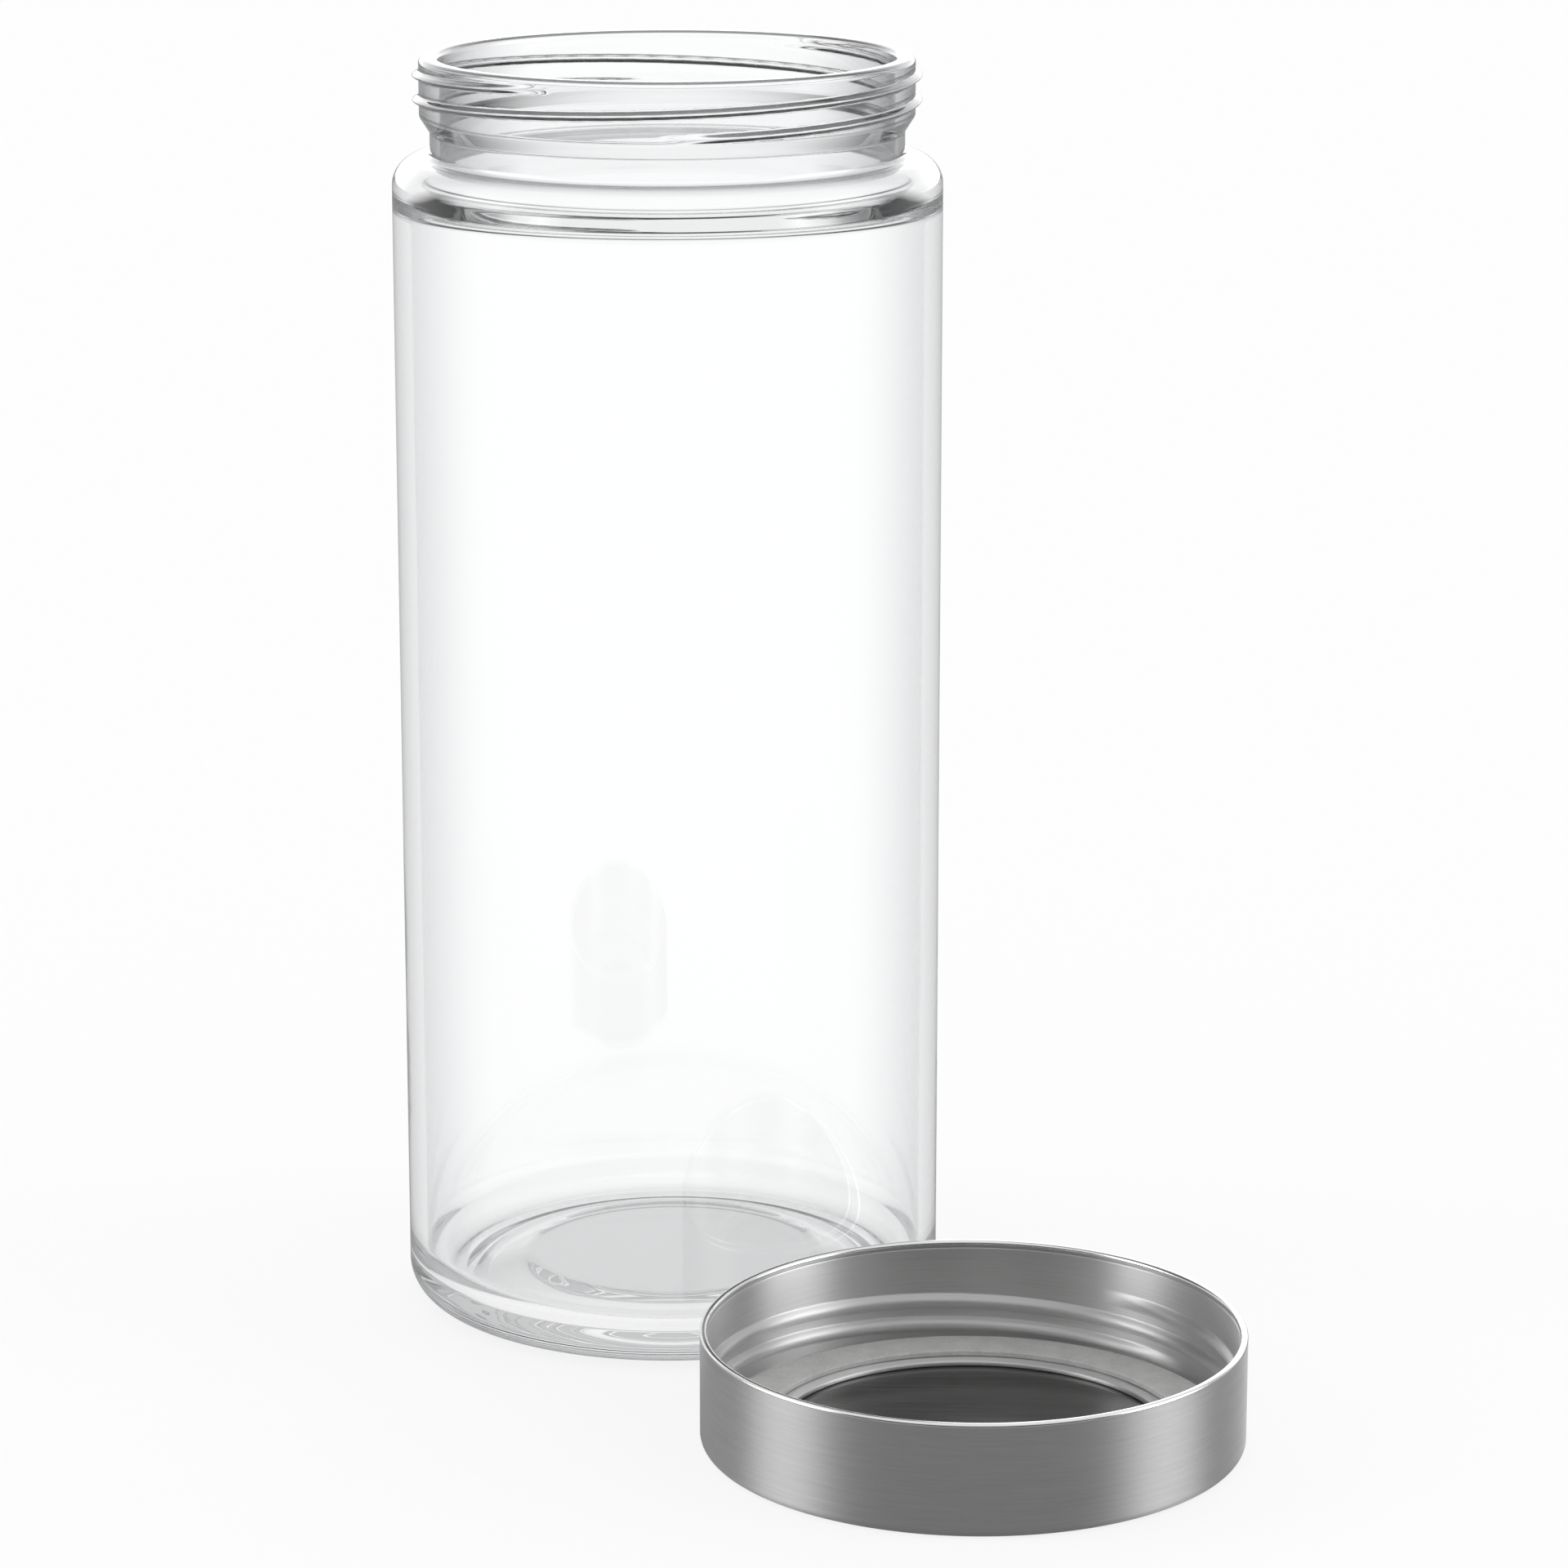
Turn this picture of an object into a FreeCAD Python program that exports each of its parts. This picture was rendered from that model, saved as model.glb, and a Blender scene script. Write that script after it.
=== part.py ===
import FreeCAD, Part
import math
import os
import Sketcher

# Lidded glass canister, in millimetres: a jar with a screw neck stands on the table
# and its lid lies upside down beside it. The jar's axis is Z and its foot is at Z 0.

DIMENSIONS = {
    # Glass jar, outside.
    "jar_diameter": 108.0,
    "jar_height": 252.0,
    "heel_radius": 7.0,
    "foot_width": 4.0,
    "foot_slope": 13.0,
    "punt_height": 3.0,
    "shoulder_radius": 5.5,
    "neck_inset": 5.5,
    "groove_inset": 2.0,
    "lip_bevel": 1.0,
    "finish_depth": 11.5,
    "finish_taper": 3.1,
    "groove_height": 5.0,
    # Glass jar, inside.
    "wall": 3.5,
    "neck_wall": 3.9,
    "floor_thickness": 5.6,
    "floor_bevel": 6.0,
    "floor_ring": 9.0,
    "floor_slope": 9.0,
    "floor_rise": 2.4,
    # Screw fit: the thread's height on the neck and the play between it and the lid.
    "thread_height": 1.3,
    "thread_gap": 0.6,
    # Lid shell, a drawn cap with its edge rolled inwards.
    "sheet": 0.5,
    "lid_bevel": 1.0,
    "hem_reveal": 0.1,
    "hem_bevel": 0.4,
    "skirt_gap": 0.4,
    # Threaded ring pressed into the shell.
    "fit_gap": 0.05,
    "insert_wall": 0.85,
    "insert_bevel": 1.0,
    "flange": 1.0,
    "flange_ledge": 2.7,
    # Seal that lies on the ring's flange and meets the jar's rim.
    "seal_gap": 0.4,
    "seal_overlap": 4.7,
    "seal_thickness": 1.2,
    # Where the lid lies beside the jar.
    "lid_gap": 1.5,
    "lid_bearing": -56.3,
}

doc = FreeCAD.newDocument("canister")
sheet = doc.addObject("Spreadsheet::Sheet", "dims")
for row, (name, size) in enumerate(DIMENSIONS.items(), start=1):
    sheet.set(f"A{row}", name)
    sheet.set(f"B{row}", str(size))
    sheet.setAlias(f"B{row}", name)
doc.recompute()


# Radii of the jar.
jar_r = "dims.jar_diameter / 2"
inner_r = f"({jar_r} - dims.wall)"
neck_r = f"({jar_r} - dims.neck_inset)"
groove_r = f"({neck_r} - dims.groove_inset)"
mouth_r = f"({neck_r} - dims.neck_wall)"
ledge_r = f"({jar_r} - dims.shoulder_radius)"
foot_r = f"({jar_r} - dims.heel_radius - dims.foot_width)"
punt_r = f"({foot_r} - dims.foot_slope)"
floor_r = f"({inner_r} - dims.floor_bevel)"
dome_r = f"({floor_r} - dims.floor_ring)"

# Heights of the jar, from its foot up to its rim.
rim = "dims.jar_height"
finish_low = f"({rim} - dims.finish_depth)"
groove_top = f"({finish_low} - dims.finish_taper)"
shoulder_top = f"({groove_top} - dims.groove_height)"
shoulder_low = f"({shoulder_top} - dims.shoulder_radius)"
floor_top = "dims.floor_thickness"

# Radii of the lid, worked outwards and inwards from the neck that it fits.
bore_r = f"({neck_r} + dims.thread_height + dims.thread_gap)"
ring_r = f"({bore_r} + dims.insert_wall)"
skin_r = f"({ring_r} + dims.fit_gap)"
lid_r = f"({skin_r} + dims.sheet)"
hem_r = f"({bore_r} + dims.hem_reveal)"
seal_r = f"({neck_r} + dims.thread_gap - dims.seal_gap)"
hole_r = f"({mouth_r} - dims.seal_overlap)"
flange_r = f"({hole_r} - dims.flange_ledge)"

# Heights of the lid, from its top on the table up to its open edge.
flange_top = "(dims.sheet + dims.flange)"
seal_low = f"({flange_top} + dims.fit_gap)"
seal_top = f"({seal_low} + dims.seal_thickness)"
skirt = f"({rim} - {shoulder_top} - dims.skirt_gap)"
lid_height = f"({seal_top} + {skirt})"
hem_low = f"({lid_height} - ({lid_r} - {hem_r}))"


def value(expression):
    """The number that an expression of the sheet's cells gives."""
    return float(sheet.evalExpression(expression))


def plane(body, role):
    """One of a body's own origin planes or axes."""
    return next(item for item in body.Origin.OriginFeatures if item.Role == role)


def new_body(label, at_lid):
    """A body under its label, on the jar's axis or where the lid lies."""
    body = doc.addObject("PartDesign::Body", label)
    body.Label = label
    reach = f"({jar_r} + {lid_r} + dims.lid_gap)"
    if at_lid:
        body.setExpression("Placement.Base.x", f"{reach} * cos(dims.lid_bearing * 1 deg)")
        body.setExpression("Placement.Base.y", f"{reach} * sin(dims.lid_bearing * 1 deg)")
    return body


def new_sketch(body, name, role):
    """An empty sketch on one of the body's origin planes."""
    sketch = body.newObject("Sketcher::SketchObject", name)
    sketch.AttachmentSupport = [(plane(body, role), "")]
    sketch.MapMode = "FlatFace"
    return sketch


def pin(sketch, edge, end, across, up):
    """Holds one end of an edge at a place given by two expressions."""
    for kind, axis, expression in (("DistanceX", -2, across), ("DistanceY", -1, up)):
        if expression == "0":
            sketch.addConstraint(Sketcher.Constraint("PointOnObject", edge, end, axis))
            continue
        size = value(expression)
        index = sketch.addConstraint(Sketcher.Constraint(kind, -1, 1, edge, end, size))
        sketch.setExpression(f"Constraints[{index}]", expression)


def bend_of(start, finish, radius, turn):
    """The arc of a radius between two points that turns left (1) or right (-1)."""
    chord = finish - start
    half = chord.Length / 2
    inset = math.sqrt(max(radius * radius - half * half, 0.0))
    side = FreeCAD.Vector(-chord.y, chord.x, 0).normalize()
    centre = (start + finish) * 0.5 + side * (inset * turn)
    first, last = (start, finish) if turn > 0 else (finish, start)
    circle = Part.Circle(centre, FreeCAD.Vector(0, 0, 1), radius)
    angles = [math.atan2(p.y - centre.y, p.x - centre.x) for p in (first, last)]
    return Part.ArcOfCircle(circle, angles[0], angles[1])


def outline(sketch, corners):
    """A closed loop: each corner is (across, up), then the radius and turn of an arc that follows."""
    points = [FreeCAD.Vector(value(c[0]), value(c[1]), 0) for c in corners]
    ends = []
    for index, corner in enumerate(corners):
        start = points[index]
        finish = points[(index + 1) % len(points)]
        if len(corner) == 2:
            edge = sketch.addGeometry(Part.LineSegment(start, finish))
            ends.append((edge, 1, 2))
            continue
        edge = sketch.addGeometry(bend_of(start, finish, value(corner[2]), corner[3]))
        ends.append((edge, 1, 2) if corner[3] > 0 else (edge, 2, 1))
    for index, (edge, first, last) in enumerate(ends):
        follower, follower_first, _ = ends[(index + 1) % len(ends)]
        sketch.addConstraint(Sketcher.Constraint("Coincident", edge, last, follower, follower_first))
    for (edge, first, last), corner in zip(ends, corners):
        pin(sketch, edge, first, corner[0], corner[1])
        if len(corner) > 2:
            index = sketch.addConstraint(Sketcher.Constraint("Radius", edge, value(corner[2])))
            sketch.setExpression(f"Constraints[{index}]", corner[2])


def turned(body, name, corners):
    """A solid of revolution about the body's axis."""
    sketch = new_sketch(body, f"{name}_profile", "XZ_Plane")
    outline(sketch, corners)
    doc.recompute()
    solid = body.newObject("PartDesign::Revolution", name)
    solid.Profile = sketch
    solid.ReferenceAxis = (sketch, ["V_Axis"])
    solid.Angle = 360
    doc.recompute()
    return solid


# Glass jar: foot ring round a raised base, straight wall, shoulder, neck and thick floor.
jar = new_body("glass_jar", False)
turned(jar, "glass", [
    ("0", "dims.punt_height"),
    (punt_r, "dims.punt_height"),
    (foot_r, "0"),
    (f"{jar_r} - dims.heel_radius", "0", "dims.heel_radius", 1),
    (jar_r, "dims.heel_radius"),
    (jar_r, shoulder_low, "dims.shoulder_radius", 1),
    (ledge_r, shoulder_top),
    (groove_r, shoulder_top),
    (groove_r, groove_top),
    (neck_r, finish_low),
    (neck_r, f"{rim} - dims.lip_bevel"),
    (f"{neck_r} - dims.lip_bevel", rim),
    (f"{mouth_r} + dims.lip_bevel", rim),
    (mouth_r, f"{rim} - dims.lip_bevel"),
    (mouth_r, shoulder_top),
    (inner_r, shoulder_low),
    (inner_r, f"{floor_top} + dims.floor_bevel"),
    (floor_r, floor_top),
    (dome_r, floor_top),
    (f"{dome_r} - dims.floor_slope", f"{floor_top} + dims.floor_rise"),
    ("0", f"{floor_top} + dims.floor_rise"),
])

# Lid shell: drawn cap, its flat top down on the table, with a rolled edge.
shell = new_body("lid_shell", True)
turned(shell, "cap", [
    ("0", "0"),
    (f"{lid_r} - dims.lid_bevel", "0"),
    (lid_r, "dims.lid_bevel"),
    (lid_r, f"{lid_height} - dims.hem_bevel"),
    (f"{lid_r} - dims.hem_bevel", lid_height),
    (f"{hem_r} + dims.hem_bevel", lid_height),
    (hem_r, f"{lid_height} - dims.hem_bevel"),
    (hem_r, hem_low),
    (skin_r, hem_low),
    (skin_r, "dims.lid_bevel"),
    (f"{lid_r} - dims.lid_bevel", "dims.sheet"),
    ("0", "dims.sheet"),
])

# Threaded ring: a wall under the rolled edge, with a flange turned in at the bottom.
insert = new_body("lid_insert", True)
turned(insert, "ring", [
    (flange_r, "dims.sheet"),
    (f"{ring_r} - dims.insert_bevel", "dims.sheet"),
    (ring_r, "dims.sheet + dims.insert_bevel"),
    (ring_r, f"{hem_low} - dims.fit_gap"),
    (bore_r, f"{hem_low} - dims.fit_gap"),
    (bore_r, flange_top),
    (flange_r, flange_top),
])

# Seal: a flat soft ring that covers the jar's rim.
seal = new_body("lid_seal", True)
turned(seal, "band", [
    (hole_r, seal_low),
    (seal_r, seal_low),
    (seal_r, seal_top),
    (hole_r, seal_top),
])

doc.recompute()
for item in doc.Objects:
    if {"Invalid", "Error"} & set(item.State):
        raise RuntimeError(f"{item.Name} did not build: {item.State}")
os.makedirs("parts", exist_ok=True)
for body in (jar, shell, insert, seal):
    if body.Shape.isNull() or not body.Shape.isValid() or len(body.Shape.Solids) != 1:
        raise RuntimeError(f"{body.Label} is not one sound solid")
for body in (jar, shell, insert, seal):
    body.Shape.exportStep(f"parts/{body.Label}.step")
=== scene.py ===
import math
from typing import NamedTuple

import bpy
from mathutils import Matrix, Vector


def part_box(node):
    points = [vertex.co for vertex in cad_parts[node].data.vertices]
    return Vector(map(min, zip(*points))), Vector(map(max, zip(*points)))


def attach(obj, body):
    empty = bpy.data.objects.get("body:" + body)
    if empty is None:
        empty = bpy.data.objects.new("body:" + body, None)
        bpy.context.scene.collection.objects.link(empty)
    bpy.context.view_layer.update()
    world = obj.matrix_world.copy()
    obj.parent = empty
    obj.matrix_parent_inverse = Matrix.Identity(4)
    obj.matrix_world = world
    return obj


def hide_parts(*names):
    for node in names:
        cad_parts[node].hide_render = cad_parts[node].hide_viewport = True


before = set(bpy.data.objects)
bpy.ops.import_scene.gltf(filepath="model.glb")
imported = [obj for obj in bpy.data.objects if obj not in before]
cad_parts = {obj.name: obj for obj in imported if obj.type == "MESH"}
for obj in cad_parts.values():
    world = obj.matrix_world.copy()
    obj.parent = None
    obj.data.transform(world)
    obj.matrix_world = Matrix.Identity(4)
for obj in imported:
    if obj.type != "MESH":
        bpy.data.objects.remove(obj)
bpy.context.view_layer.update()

# Lidded glass canister: a jar with a screw neck and its lid, upside down beside it.
# Sizes are in millimetres and become metres where a mesh or a material is made.
MM = 0.001

# How finely the turned meshes are cut, and the name of their unrolled coordinates.
SEGMENTS = 320
ARC_CHORD = 0.35
ARC_FINEST = math.radians(3.0)
ARC_COARSEST = math.radians(10.0)
SUPPORT = 0.25
THREAD_STEP = 0.18
ON_AXIS = 1e-6
UNROLLED = "around"

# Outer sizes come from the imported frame.
jar_low, jar_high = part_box("glass_jar")
cap_low, cap_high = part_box("lid_shell")
ring_low, ring_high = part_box("lid_insert")
band_low, band_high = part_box("lid_seal")
LID_CENTRE = (cap_low + cap_high) / 2
LID_AT = Vector((LID_CENTRE.x, LID_CENTRE.y, 0.0))

# Glass jar, outside.
JAR_R = (jar_high.x - jar_low.x) / 2 / MM
RIM = jar_high.z / MM
HEEL = 7.0
FOOT_WIDTH = 4.0
FOOT_SLOPE = 13.0
PUNT = 3.0
SHOULDER = 5.5
NECK_INSET = 5.5
GROOVE_INSET = 2.0
FINISH_DEPTH = 11.5
FINISH_TAPER = 3.1
GROOVE_HEIGHT = 5.0
FOOT_R = JAR_R - HEEL - FOOT_WIDTH
PUNT_R = FOOT_R - FOOT_SLOPE
NECK_R = JAR_R - NECK_INSET
GROOVE_R = NECK_R - GROOVE_INSET
FINISH_LOW = RIM - FINISH_DEPTH
GROOVE_TOP = FINISH_LOW - FINISH_TAPER
SHOULDER_TOP = GROOVE_TOP - GROOVE_HEIGHT

# Glass jar, inside: the shoulder ends below the outer one and the floor rises to a dome.
WALL = 3.5
NECK_WALL = 3.9
INNER_SHOULDER = 9.5
FLOOR_TOP = 5.6
FLOOR_RING = 12.0
FLOOR_SLOPE = 9.0
FLOOR_RISE = 2.4
INNER_R = JAR_R - WALL
MOUTH_R = NECK_R - NECK_WALL
DOME_FOOT_R = INNER_R - FLOOR_RING
DOME_R = DOME_FOOT_R - FLOOR_SLOPE
DOME_TOP = FLOOR_TOP + FLOOR_RISE

# Roundings of the jar's corners.
PUNT_ROUND = 14.0
FOOT_ROUND = 3.0
GROOVE_ROUND = 1.2
TAPER_ROUND = 1.0
FINISH_ROUND = 1.2
LIP_ROUND = 1.3
MOUTH_ROUND = 4.0
INNER_SHOULDER_ROUND = 6.0
FLOOR_ROUND = 8.0
DOME_ROUND = 10.0

# Screw thread: two starts, right-handed. Angles are in degrees round the piece's axis.
PITCH = 4.8
LEAD = 2 * PITCH
BEAD_HEIGHT = 1.3
BEAD_HALF = 0.85
BEAD_POWER = 1.5
BEAD_DEPTH = 10.9
BEAD_FROM = 270.0
BEAD_TURN = 335.0
BEAD_FADE = 20.0

# Lid shell, with its edge rolled inwards.
LID_R = (cap_high.x - cap_low.x) / 2 / MM
LID_H = cap_high.z / MM
SHEET = 0.5
FIT_GAP = 0.05
HEM_FLAT = 0.02
CAP_ROUND = 1.5
SKIN_ROUND = 1.0
HEM_LIP_ROUND = 0.2
# Material slots of the rolled edge and the inner face, and how near that face its polygons lie.
EDGE_SLOT = 1
INNER_SLOT = 2
INNER_REACH = 0.2

# Threaded ring, with a flange under the seal.
RING_R = (ring_high.x - ring_low.x) / 2 / MM
RING_TOP = ring_high.z / MM
RING_LOW = ring_low.z / MM
RING_WALL = 0.85
FLANGE = 1.0
FLANGE_LEDGE = 2.7
RING_FOOT_ROUND = 1.0
RING_BACK_ROUND = 0.2
RING_LIP_ROUND = 0.3
FLANGE_ROUND = 0.4
# Ridge rolled into the ring, on the points that lie this near its bore.
BORE_REACH = 0.01
RIDGE_HEIGHT = 1.3
RIDGE_HALF = 1.5
RIDGE_POWER = 2.2
RIDGE_DEPTH = 8.6
RIDGE_FROM = 59.0
RIDGE_TURN = 385.0
RIDGE_FADE = 22.0

# Seal.
SEAL_R = (band_high.x - band_low.x) / 2 / MM
SEAL_LOW = band_low.z / MM
SEAL_TOP = band_high.z / MM
SEAL_OVERLAP = 4.7
SEAL_ROUND = 0.35

# Places in the lid that follow from the ring and the jar's mouth.
BORE_R = RING_R - RING_WALL
SKIN_R = RING_R + FIT_GAP
SEAL_HOLE = MOUTH_R - SEAL_OVERLAP
FLANGE_R = SEAL_HOLE - FLANGE_LEDGE
FLANGE_TOP = RING_LOW + FLANGE
HEM_ROUND = (LID_R - BORE_R - HEM_FLAT) / 2
HEM_LOW = LID_H - 2 * HEM_ROUND

# Faint tint of the glass face on, and painted shade that greys it towards its edges, by its slant to the
# eye, from face on (0) to edge on (1).
WALL_HUE_AND_EDGE_SHADE = [(0.33, (0.997, 0.999, 1.0)), (0.55, (0.86, 0.87, 0.876)), (0.9, (0.66, 0.675, 0.685))]
NECK_HUE_AND_EDGE_SHADE = [(0.2, (0.96, 0.965, 0.97)), (0.5, (0.50, 0.51, 0.52)), (0.8, (0.12, 0.125, 0.13))]
NECK_BLEND = 3.0
# Shade of the glass above the shoulder by how far it faces up or down: dark on the thread's flanks.
FLANK_SHADE = [(0.56, 1.0), (0.7, 0.1), (0.92, 0.1), (0.985, 1.0)]
FLANK_FROM = SHOULDER_TOP + 0.3
FLANK_FULL = SHOULDER_TOP + 0.8
# Thick glass takes a little of all light, and least of the blue.
DEEP_GLASS = (0.0, 0.06, 0.1, 1.0)
# Waves in the glass, which begin above the base.
WAVES_FROM = 15.0
WAVES_FULL = 40.0
WAVE_DEPTH = 1.5

# Fine relief of the lid's finishes, and the spread of noise values that their tones follow.
BRUSH_DEPTH = 0.05
SKIN_DEPTH = 0.1
STREAK_SPREAD = (0.25, 0.75)
GRAIN_SPREAD = (0.3, 0.7)

# Table, in metres. It glows for the eye, is darker in mirrors and a little lighter through glass.
TABLE_HALF = 12.0
TABLE_DROP = 0.0002
TABLE_TONE = 0.9
TABLE_GLOW = 0.85
TABLE_IN_MIRRORS = 0.28
TABLE_THROUGH_GLASS = 0.05

# Studio as metal mirrors it, round the horizon from the viewer's side (0) to the far side (1).
ROOM_ROUND = [(0.0, 0.005), (0.24, 0.01), (0.36, 1.0), (0.54, 1.0), (0.66, 0.06), (0.85, 0.22),
              (0.95, 0.6)]
CEILING = 0.22
CEILING_BLEND = [(0.3, 0.0), (0.7, 1.0)]
# Studio as glass shows it, by height: white low down, dark overhead, grey after many turns.
ROOM_THROUGH_GLASS = [(0.22, 0.25), (0.36, 0.0)]
MANY_TURNS = 6.0
MANY_TURNS_TONE = 0.16
ROOM_STRENGTH = 4.0
BOUNCES = 128

# Camera, in metres and radians, with its lens and sensor in millimetres.
CAMERA_AT = (0.0335, -1.05, 0.3659)
CAMERA_DOWN = 0.2431
CAMERA_ASIDE = 0.0102
CAMERA_LENS = 123.25
CAMERA_SENSOR = 36.0


class Corner(NamedTuple):
    """A corner of an outline: its place, its rounding, and the step along the run that ends there."""

    r: float
    z: float
    radius: float = 0.0
    step: float = 0.0


def along(start, finish, step):
    """Points from start to finish, finish included: every step, or else close to both ends."""
    reach = finish - start
    length = reach.length
    if step:
        count = max(math.ceil(length / step), 1)
        return [start + reach * (i / count) for i in range(1, count + 1)]
    if length < 3 * SUPPORT:
        return [finish]
    near = SUPPORT / length
    return [start + reach * near, start + reach * (1 - near), finish]


def bend(before, corner, after, radius):
    """A corner's rounding: the point where it begins, and the points along its arc."""
    back = (before - corner).normalized()
    ahead = (after - corner).normalized()
    half = math.acos(max(-1.0, min(1.0, back.dot(ahead)))) / 2
    reach = radius / math.tan(half)
    middle = corner + (back + ahead).normalized() * (radius / math.sin(half))
    first = corner + back * reach
    last = corner + ahead * reach
    arm = first - middle
    turn = 1.0 if arm.cross(last - middle) > 0 else -1.0
    sweep = math.pi - 2 * half
    step = min(max(ARC_CHORD / radius, ARC_FINEST), ARC_COARSEST)
    count = max(math.ceil(sweep / step), 2)
    angles = [turn * sweep * i / count for i in range(1, count + 1)]
    arc = [middle + Vector((arm.x * math.cos(a) - arm.y * math.sin(a),
                            arm.x * math.sin(a) + arm.y * math.cos(a))) for a in angles]
    return first, arc


def rounded(corners, closed):
    """The points of an outline through its corners, which are given as Corner's values."""
    corners = [Corner(*corner) for corner in corners]
    spots = [Vector((corner.r, corner.z)) for corner in corners]
    count = len(corners)
    points = []
    for i, corner in enumerate(corners):
        first = spots[i]
        arc = []
        end = not closed and i in (0, count - 1)
        if corner.radius and not end:
            first, arc = bend(spots[i - 1], spots[i], spots[(i + 1) % count], corner.radius)
        points += along(points[-1], first, corner.step) if points else [first]
        points += arc
    if closed:
        points += along(points[-1], points[0], corners[0].step)[:-1]
    return points


def turn_points(outline, relief):
    """The vertices of a turned outline, and each outline point's loop of vertex numbers."""
    verts = []
    loops = []
    for point in outline:
        if point.x < ON_AXIS:
            loops.append([len(verts)] * SEGMENTS)
            verts.append((0.0, 0.0, point.y * MM))
            continue
        loops.append(list(range(len(verts), len(verts) + SEGMENTS)))
        for s in range(SEGMENTS):
            angle = 2 * math.pi * s / SEGMENTS
            r = point.x
            if relief:
                r += relief(point.x, point.y, math.degrees(angle))
            verts.append((r * MM * math.cos(angle), r * MM * math.sin(angle), point.y * MM))
    return verts, loops


def join_loops(outline, loops, closed):
    """The faces between a turned outline's loops, and their corners' unrolled places in metres."""
    run = [0.0]
    for before, after in zip(outline, outline[1:] + outline[:1]):
        run.append(run[-1] + (after - before).length)
    girth = 2 * math.pi * max(point.x for point in outline)
    faces = []
    places = []
    for i in range(len(outline) if closed else len(outline) - 1):
        low = loops[i]
        high = loops[(i + 1) % len(outline)]
        for s in range(SEGMENTS):
            t = (s + 1) % SEGMENTS
            corners = [(low[s], s, i), (low[t], s + 1, i), (high[t], s + 1, i + 1), (high[s], s, i + 1)]
            if low[s] == low[t]:
                corners.pop(1)
            elif high[s] == high[t]:
                corners.pop(2)
            faces.append([vert for vert, _, _ in corners])
            places += [(girth * across / SEGMENTS * MM, run[up] * MM) for _, across, up in corners]
    return faces, places


def lathe(name, outline, closed, centre, relief=None):
    """A mesh turned about an upright axis; relief(r, z, degrees) moves a point outwards."""
    verts, loops = turn_points(outline, relief)
    faces, places = join_loops(outline, loops, closed)
    mesh = bpy.data.meshes.new(name)
    mesh.from_pydata(verts, [], faces)
    layer = mesh.uv_layers.new(name=UNROLLED)
    for loop, place in zip(layer.data, places):
        loop.uv = place
    mesh.shade_smooth()
    piece = bpy.data.objects.new(name, mesh)
    piece.location = centre
    bpy.context.scene.collection.objects.link(piece)
    return piece


def bead(z, degrees, top_z, top_angle, turn, half, fade, power):
    """How much of a thread's full height stands at a place: 0 off it, 1 on its crest."""
    best = 0.0
    for start, lap in ((0.0, 0.0), (180.0, 0.0), (0.0, 360.0), (180.0, 360.0)):
        back = (top_angle + start - degrees) % 360.0 + lap
        inset = min(back, turn - back)
        if inset <= 0.0:
            continue
        offset = (z - (top_z - LEAD * back / 360.0)) / half
        if abs(offset) >= 1.0:
            continue
        ease = min(inset / fade, 1.0)
        ease = ease * ease * (3.0 - 2.0 * ease)
        best = max(best, ease * (1.0 - abs(offset) ** power))
    return best


def neck_relief(r, z, degrees):
    """The round bead that winds up the outside of the jar's neck."""
    if r < GROOVE_R or z < GROOVE_TOP:
        return 0.0
    top_z = RIM - BEAD_DEPTH + LEAD * BEAD_TURN / 360.0
    share = bead(z, degrees, top_z, BEAD_FROM + BEAD_TURN, BEAD_TURN, BEAD_HALF, BEAD_FADE, BEAD_POWER)
    return BEAD_HEIGHT * share


def ring_relief(r, z, degrees):
    """The rolled ridge that winds down the inside of the lid's ring."""
    if abs(r - BORE_R) > BORE_REACH:
        return 0.0
    top_z = LID_H - RIDGE_DEPTH
    share = bead(z, degrees, top_z, RIDGE_FROM, RIDGE_TURN, RIDGE_HALF, RIDGE_FADE, RIDGE_POWER)
    return -RIDGE_HEIGHT * share


def make_jar():
    """Glass jar: raised base, straight wall, shoulder, grooved screw neck, thick floor."""
    outline = rounded([
        (0.0, PUNT),
        (PUNT_R, PUNT, PUNT_ROUND),
        (FOOT_R, 0.0, FOOT_ROUND),
        (JAR_R, 0.0, HEEL),
        (JAR_R, SHOULDER_TOP, SHOULDER),
        (GROOVE_R, SHOULDER_TOP, GROOVE_ROUND),
        (GROOVE_R, GROOVE_TOP, TAPER_ROUND),
        (NECK_R, FINISH_LOW, FINISH_ROUND, THREAD_STEP),
        (NECK_R, RIM, LIP_ROUND, THREAD_STEP),
        (MOUTH_R, RIM, LIP_ROUND),
        (MOUTH_R, SHOULDER_TOP, MOUTH_ROUND),
        (INNER_R, SHOULDER_TOP - INNER_SHOULDER, INNER_SHOULDER_ROUND),
        (INNER_R, FLOOR_TOP, FLOOR_ROUND),
        (DOME_FOOT_R, FLOOR_TOP, DOME_ROUND),
        (DOME_R, DOME_TOP, DOME_ROUND),
        (0.0, DOME_TOP),
    ], closed=False)
    return lathe("jar_glass", outline, False, Vector(), neck_relief)


def make_cap():
    """Lid's outer shell: drawn from one sheet, with its edge rolled inwards."""
    outline = rounded([
        (0.0, 0.0),
        (LID_R, 0.0, CAP_ROUND),
        (LID_R, LID_H, HEM_ROUND),
        (BORE_R, LID_H, HEM_ROUND),
        (BORE_R, HEM_LOW, HEM_LIP_ROUND),
        (SKIN_R, HEM_LOW),
        (SKIN_R, SHEET, SKIN_ROUND),
        (0.0, SHEET),
    ], closed=False)
    cap = lathe("lid_cap", outline, False, LID_AT)
    for polygon in cap.data.polygons:
        spot = polygon.center / MM
        if spot.z > LID_H - HEM_ROUND:
            polygon.material_index = EDGE_SLOT
        elif abs(spot.z - SHEET) < INNER_REACH and math.hypot(spot.x, spot.y) < SKIN_R:
            polygon.material_index = INNER_SLOT
    return cap


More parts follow.
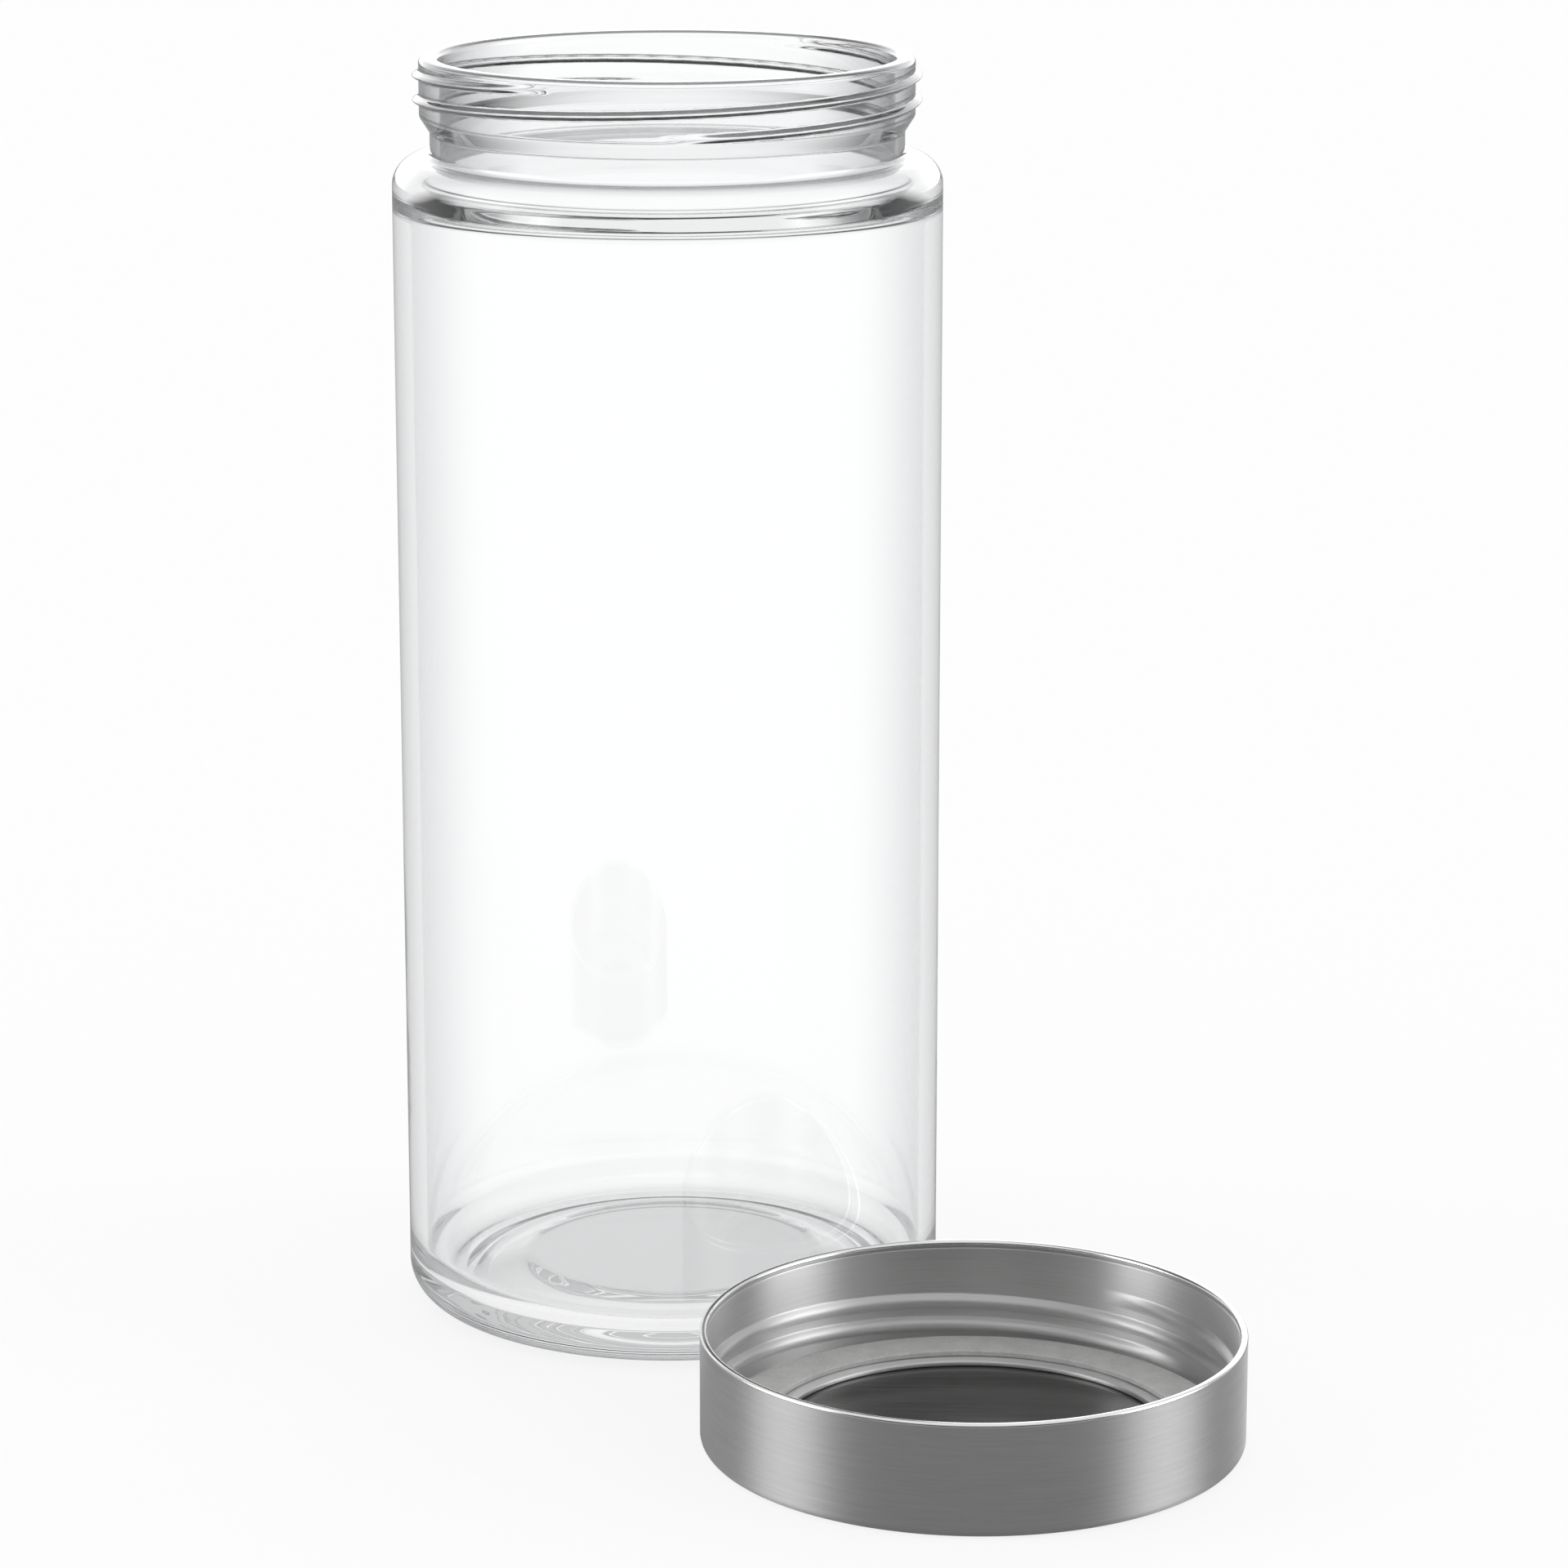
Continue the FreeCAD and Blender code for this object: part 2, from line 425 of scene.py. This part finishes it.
def make_ring():
    """Threaded ring: a rolled wall with a flange turned in at the bottom."""
    outline = rounded([
        (FLANGE_R, RING_LOW, FLANGE_ROUND),
        (RING_R, RING_LOW, RING_FOOT_ROUND),
        (RING_R, RING_TOP, RING_BACK_ROUND),
        (BORE_R, RING_TOP, RING_LIP_ROUND),
        (BORE_R, FLANGE_TOP, FLANGE_ROUND, THREAD_STEP),
        (FLANGE_R, FLANGE_TOP, FLANGE_ROUND),
    ], closed=True)
    return lathe("lid_ring", outline, True, LID_AT, ring_relief)


def make_seal():
    """Seal: a flat soft ring with rounded edges."""
    outline = rounded([
        (SEAL_HOLE, SEAL_LOW, SEAL_ROUND),
        (SEAL_R, SEAL_LOW, SEAL_ROUND),
        (SEAL_R, SEAL_TOP, SEAL_ROUND),
        (SEAL_HOLE, SEAL_TOP, SEAL_ROUND),
    ], closed=True)
    return lathe("lid_seal_band", outline, True, LID_AT)


def grey(tone):
    """A neutral colour."""
    return (tone, tone, tone, 1.0)


class Nodes:
    """Adds and links the nodes of one tree."""

    def __init__(self, tree):
        self.tree = tree
        tree.nodes.clear()

    def add(self, kind, settings=None, **inputs):
        """A new node. An input goes by its socket's name, or by its number after an underscore."""
        node = self.tree.nodes.new(kind)
        for key, setting in (settings or {}).items():
            setattr(node, key, setting)
        for key, source in inputs.items():
            socket = node.inputs[int(key[1:])] if key[0] == "_" else node.inputs[key.replace("_", " ")]
            if isinstance(source, bpy.types.NodeSocket):
                self.tree.links.new(source, socket)
            else:
                socket.default_value = source
        return node

    def math(self, operation, first, second=0.0):
        """The result of a Math node on one or two values."""
        return self.add("ShaderNodeMath", {"operation": operation}, _0=first, _1=second).outputs[0]

    def remap(self, source, low, high, to_low=0.0, to_high=1.0):
        """A value carried over from one range to another, and held at the ends."""
        node = self.add("ShaderNodeMapRange", None, Value=source, From_Min=low, From_Max=high,
                        To_Min=to_low, To_Max=to_high)
        return node.outputs["Result"]

    def ramp(self, source, stops):
        """A colour that runs through stops, each a place with its grey tone or its colour."""
        node = self.add("ShaderNodeValToRGB", None, Fac=source)
        elements = node.color_ramp.elements
        while len(elements) < len(stops):
            elements.new(0.5)
        for element, (place, colour) in zip(elements, stops):
            element.position = place
            element.color = (*colour, 1.0) if isinstance(colour, tuple) else grey(colour)
        return node.outputs["Color"]

    def mix(self, share, first, second, blend="MIX"):
        """Two colours mixed by a share of the second; a Mix node's colour sockets go by number."""
        node = self.add("ShaderNodeMix", {"data_type": "RGBA", "blend_type": blend},
                        _0=share, _6=first, _7=second)
        return node.outputs[2]

    def axes(self, vector):
        """The X, Y and Z of a vector."""
        return self.add("ShaderNodeSeparateXYZ", None, Vector=vector).outputs

    def noise(self, place, scale, detail):
        """Noise over a place, finer with a larger scale."""
        return self.add("ShaderNodeTexNoise", None, Vector=place, Scale=scale, Detail=detail).outputs["Fac"]

    def bump(self, height, strength, depth):
        """A surface normal that follows a height; depth is in millimetres."""
        node = self.add("ShaderNodeBump", None, Strength=strength, Distance=depth * MM, Height=height)
        return node.outputs["Normal"]


def new_material(name):
    """An empty node material with its tree's helper."""
    material = bpy.data.materials.new(name)
    material.use_nodes = True
    return material, Nodes(material.node_tree)


def finish_material(nodes, shader, **more):
    """Joins a shader, and a volume where there is one, to the material's output."""
    nodes.add("ShaderNodeOutputMaterial", None, Surface=shader.outputs[0], **more)


def streaks(nodes, across, lengthwise, detail):
    """Noise drawn out along the turning direction, in the piece's own unrolled coordinates."""
    unrolled = nodes.add("ShaderNodeUVMap", {"uv_map": UNROLLED}).outputs["UV"]
    spread = nodes.add("ShaderNodeMapping", None, Vector=unrolled, Scale=(lengthwise, across, 1.0))
    noise = nodes.add("ShaderNodeTexNoise", {"noise_dimensions": "2D"}, Vector=spread.outputs["Vector"],
                      Scale=1.0, Detail=detail, Roughness=0.65)
    return noise.outputs["Fac"]


def metal(nodes, grain, spread, tones, roughness, **more):
    """A metal whose tone and roughness both follow a grain."""
    low, high = spread
    colour = nodes.ramp(grain, [(low, tones[0]), (high, tones[1])])
    gloss = nodes.remap(grain, low, high, *roughness)
    return nodes.add("ShaderNodeBsdfPrincipled", None, Base_Color=colour, Metallic=1.0,
                     Roughness=gloss, **more)


def brushed_round(nodes, streak, strength):
    """What makes a metal brushed round its axis: shallow grooves, and gloss drawn out across them."""
    tangent = nodes.add("ShaderNodeTangent", {"direction_type": "UV_MAP", "uv_map": UNROLLED})
    return {
        "Anisotropic": 0.9,
        "Anisotropic_Rotation": 0.25,
        "Normal": nodes.bump(streak, strength, BRUSH_DEPTH),
        "Tangent": tangent.outputs["Tangent"],
    }


def glass_material():
    """Clear glass: wavy from the mould, with painted shade that greys it on the slant and darkens the
    flanks of the thread.
    """
    material, nodes = new_material("canister_glass")
    place = nodes.add("ShaderNodeTexCoord").outputs["Object"]
    height = nodes.axes(place)["Z"]
    wall = nodes.remap(height, WAVES_FROM * MM, WAVES_FULL * MM)
    waves = nodes.math("MULTIPLY", nodes.noise(place, scale=18.0, detail=1.0), wall)
    slant = nodes.add("ShaderNodeLayerWeight", None, Blend=0.5).outputs["Facing"]
    neck = nodes.remap(height, (SHOULDER_TOP - NECK_BLEND) * MM, SHOULDER_TOP * MM)
    # Painted shade: the glass greys towards its edges as seen, and more so on the neck.
    hue_and_painted_shade = nodes.mix(neck, nodes.ramp(slant, WALL_HUE_AND_EDGE_SHADE), nodes.ramp(slant, NECK_HUE_AND_EDGE_SHADE))
    normal = nodes.add("ShaderNodeNewGeometry").outputs["Normal"]
    upward = nodes.math("ABSOLUTE", nodes.axes(normal)["Z"])
    thread = nodes.remap(height, FLANK_FROM * MM, FLANK_FULL * MM)
    # Painted shade: dark on the thread's flanks, above the shoulder.
    hue_and_painted_shade = nodes.mix(thread, hue_and_painted_shade, nodes.ramp(upward, FLANK_SHADE), blend="MULTIPLY")
    shader = nodes.add("ShaderNodeBsdfPrincipled", None, Base_Color=hue_and_painted_shade, Roughness=0.0, IOR=1.5,
                       Transmission_Weight=1.0, Normal=nodes.bump(waves, strength=0.05, depth=WAVE_DEPTH))
    depth = nodes.add("ShaderNodeVolumeAbsorption", None, Color=DEEP_GLASS, Density=0.6)
    finish_material(nodes, shader, Volume=depth.outputs[0])
    return material


def brushed_steel():
    """Stainless sheet brushed round its axis, with fine and broad streaks."""
    material, nodes = new_material("lid_brushed_steel")
    fine = streaks(nodes, across=9000.0, lengthwise=120.0, detail=3.0)
    broad = streaks(nodes, across=1500.0, lengthwise=40.0, detail=2.0)
    mixed = nodes.math("ADD", nodes.math("MULTIPLY", fine, 0.6), nodes.math("MULTIPLY", broad, 0.4))
    shader = metal(nodes, mixed, STREAK_SPREAD, tones=(0.48, 0.62), roughness=(0.46, 0.58),
                   **brushed_round(nodes, fine, strength=0.05))
    finish_material(nodes, shader)
    return material


def rubbed_edge_painted_highlight():
    """Rolled edge of the lid, lightly rubbed and glossier than the sheet, with a painted highlight: its
    tone is brighter than the same steel elsewhere.
    """
    material, nodes = new_material("lid_rubbed_edge_painted_highlight")
    fine = streaks(nodes, across=3000.0, lengthwise=90.0, detail=2.0)
    # Painted highlight: a brighter metal tone than the rest of the sheet, so that the edge shines.
    shader = metal(nodes, fine, STREAK_SPREAD, tones=(0.80, 0.90), roughness=(0.16, 0.24))
    finish_material(nodes, shader)
    return material


def smooth_inside_painted_shade():
    """Smooth mill finish of the sheet inside the lid, with painted shade: a much darker metal tone than the
    brushed outside, standing in for dark reflections.
    """
    material, nodes = new_material("lid_smooth_inside_painted_shade")
    place = nodes.add("ShaderNodeTexCoord").outputs["Object"]
    drawn = nodes.add("ShaderNodeMapping", None, Vector=place, Scale=(40.0, 1200.0, 1.0)).outputs["Vector"]
    grain = nodes.noise(drawn, scale=1.0, detail=2.0)
    # Painted shade: near-black metal tones stand in for the dark reflections inside the lid.
    shader = metal(nodes, grain, GRAIN_SPREAD, tones=((0.145, 0.14, 0.138), (0.195, 0.19, 0.187)),
                   roughness=(0.14, 0.2))
    finish_material(nodes, shader)
    return material


def satin_ring():
    """Satin aluminium of the threaded ring, polished round its axis with faint turning marks."""
    material, nodes = new_material("lid_satin_ring")
    fine = streaks(nodes, across=4000.0, lengthwise=40.0, detail=2.0)
    shader = metal(nodes, fine, STREAK_SPREAD, tones=(0.66, 0.74), roughness=(0.40, 0.46),
                   **brushed_round(nodes, fine, strength=0.02))
    finish_material(nodes, shader)
    return material


def grey_seal():
    """Light grey soft sealing compound with a fine uneven skin."""
    material, nodes = new_material("lid_grey_seal")
    place = nodes.add("ShaderNodeTexCoord").outputs["Object"]
    fine = nodes.noise(place, scale=1400.0, detail=3.0)
    broad = nodes.noise(place, scale=260.0, detail=2.0)
    mixed = nodes.math("ADD", nodes.math("MULTIPLY", fine, 0.5), nodes.math("MULTIPLY", broad, 0.5))
    low, high = GRAIN_SPREAD
    colour = nodes.ramp(mixed, [(low, (0.50, 0.50, 0.495)), (high, (0.66, 0.66, 0.65))])
    shader = nodes.add("ShaderNodeBsdfPrincipled", None, Base_Color=colour, Roughness=0.5,
                       Normal=nodes.bump(fine, strength=0.4, depth=SKIN_DEPTH))
    finish_material(nodes, shader)
    return material


def make_floor():
    """White table that fades into the background and keeps the soft shadows."""
    mesh = bpy.data.meshes.new("floor")
    ends = (-TABLE_HALF, TABLE_HALF)
    corners = [(x, y, 0.0) for y in ends for x in ends]
    mesh.from_pydata(corners, [], [(0, 1, 3, 2)])
    floor = bpy.data.objects.new("floor", mesh)
    floor.location.z = -TABLE_DROP
    bpy.context.scene.collection.objects.link(floor)
    material, nodes = new_material("floor_white")
    path = nodes.add("ShaderNodeLightPath").outputs
    through = path["Is Transmission Ray"]
    straight = nodes.math("MAXIMUM", path["Is Camera Ray"], through)
    seen = nodes.math("MAXIMUM", straight, path["Is Glossy Ray"])
    tone = nodes.mix(straight, grey(TABLE_IN_MIRRORS), grey(1.0))
    strength = nodes.math("ADD", nodes.math("MULTIPLY", through, TABLE_THROUGH_GLASS), 1.0)
    glow = nodes.add("ShaderNodeEmission", None, Color=tone, Strength=strength)
    matt = nodes.add("ShaderNodeBsdfDiffuse", None, Color=grey(TABLE_TONE))
    share = nodes.math("MULTIPLY", seen, TABLE_GLOW)
    mix = nodes.add("ShaderNodeMixShader", None, _0=share, _1=matt.outputs[0], _2=glow.outputs[0])
    finish_material(nodes, mix)
    mesh.materials.append(material)


def make_world():
    """Studio: white to the camera, bright at the sides for metal, and white low down for glass."""
    world = bpy.data.worlds.new("studio")
    world.use_nodes = True
    bpy.context.scene.world = world
    nodes = Nodes(world.node_tree)
    ray = nodes.axes(nodes.add("ShaderNodeTexCoord").outputs["Generated"])
    flat = nodes.add("ShaderNodeCombineXYZ", None, X=ray["X"], Y=ray["Y"], Z=0.0).outputs["Vector"]
    level = nodes.add("ShaderNodeVectorMath", {"operation": "NORMALIZE"}, _0=flat).outputs["Vector"]
    round_room = nodes.ramp(nodes.remap(nodes.axes(level)["Y"], -1.0, 1.0), ROOM_ROUND)
    mirrored = nodes.mix(nodes.ramp(ray["Z"], CEILING_BLEND), round_room, grey(CEILING))
    path = nodes.add("ShaderNodeLightPath").outputs
    wandered = nodes.math("GREATER_THAN", path["Ray Depth"], MANY_TURNS)
    through = nodes.mix(wandered, nodes.ramp(ray["Z"], ROOM_THROUGH_GLASS), grey(MANY_TURNS_TONE))
    room = nodes.mix(path["Is Transmission Ray"], mirrored, through)
    studio = nodes.add("ShaderNodeBackground", None, Color=room, Strength=ROOM_STRENGTH)
    white = nodes.add("ShaderNodeBackground", None, Color=grey(1.0), Strength=1.0)
    mix = nodes.add("ShaderNodeMixShader", None, _0=path["Is Camera Ray"], _1=studio.outputs[0],
                    _2=white.outputs[0])
    nodes.add("ShaderNodeOutputWorld", None, Surface=mix.outputs[0])


def make_camera():
    """A long lens in front of the jar, a little above it and tilted down."""
    data = bpy.data.cameras.new("camera")
    data.sensor_width = CAMERA_SENSOR
    data.lens = CAMERA_LENS
    camera = bpy.data.objects.new("camera", data)
    camera.location = CAMERA_AT
    camera.rotation_euler = (math.pi / 2 - CAMERA_DOWN, 0.0, CAMERA_ASIDE)
    bpy.context.scene.collection.objects.link(camera)
    bpy.context.scene.camera = camera


pieces = [
    (make_jar(), "jar", "glass_jar", "glass", [glass_material()]),
    (make_cap(), "lid", "lid_shell", "lid_steel", [brushed_steel(), rubbed_edge_painted_highlight(), smooth_inside_painted_shade()]),
    (make_ring(), "lid", "lid_insert", "lid_ring", [satin_ring()]),
    (make_seal(), "seal", "lid_seal", "seal", [grey_seal()]),
]
for piece, body, node, slot, finishes in pieces:
    for finish in finishes:
        piece.data.materials.append(finish)
    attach(piece, body)
    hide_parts(node)
make_floor()
make_world()
make_camera()
bpy.context.scene.view_settings.view_transform = "Standard"

# Light turns many corners inside thick glass before it comes out again.
bpy.context.scene.cycles.max_bounces = BOUNCES
bpy.context.scene.cycles.glossy_bounces = BOUNCES
bpy.context.scene.cycles.transmission_bounces = BOUNCES
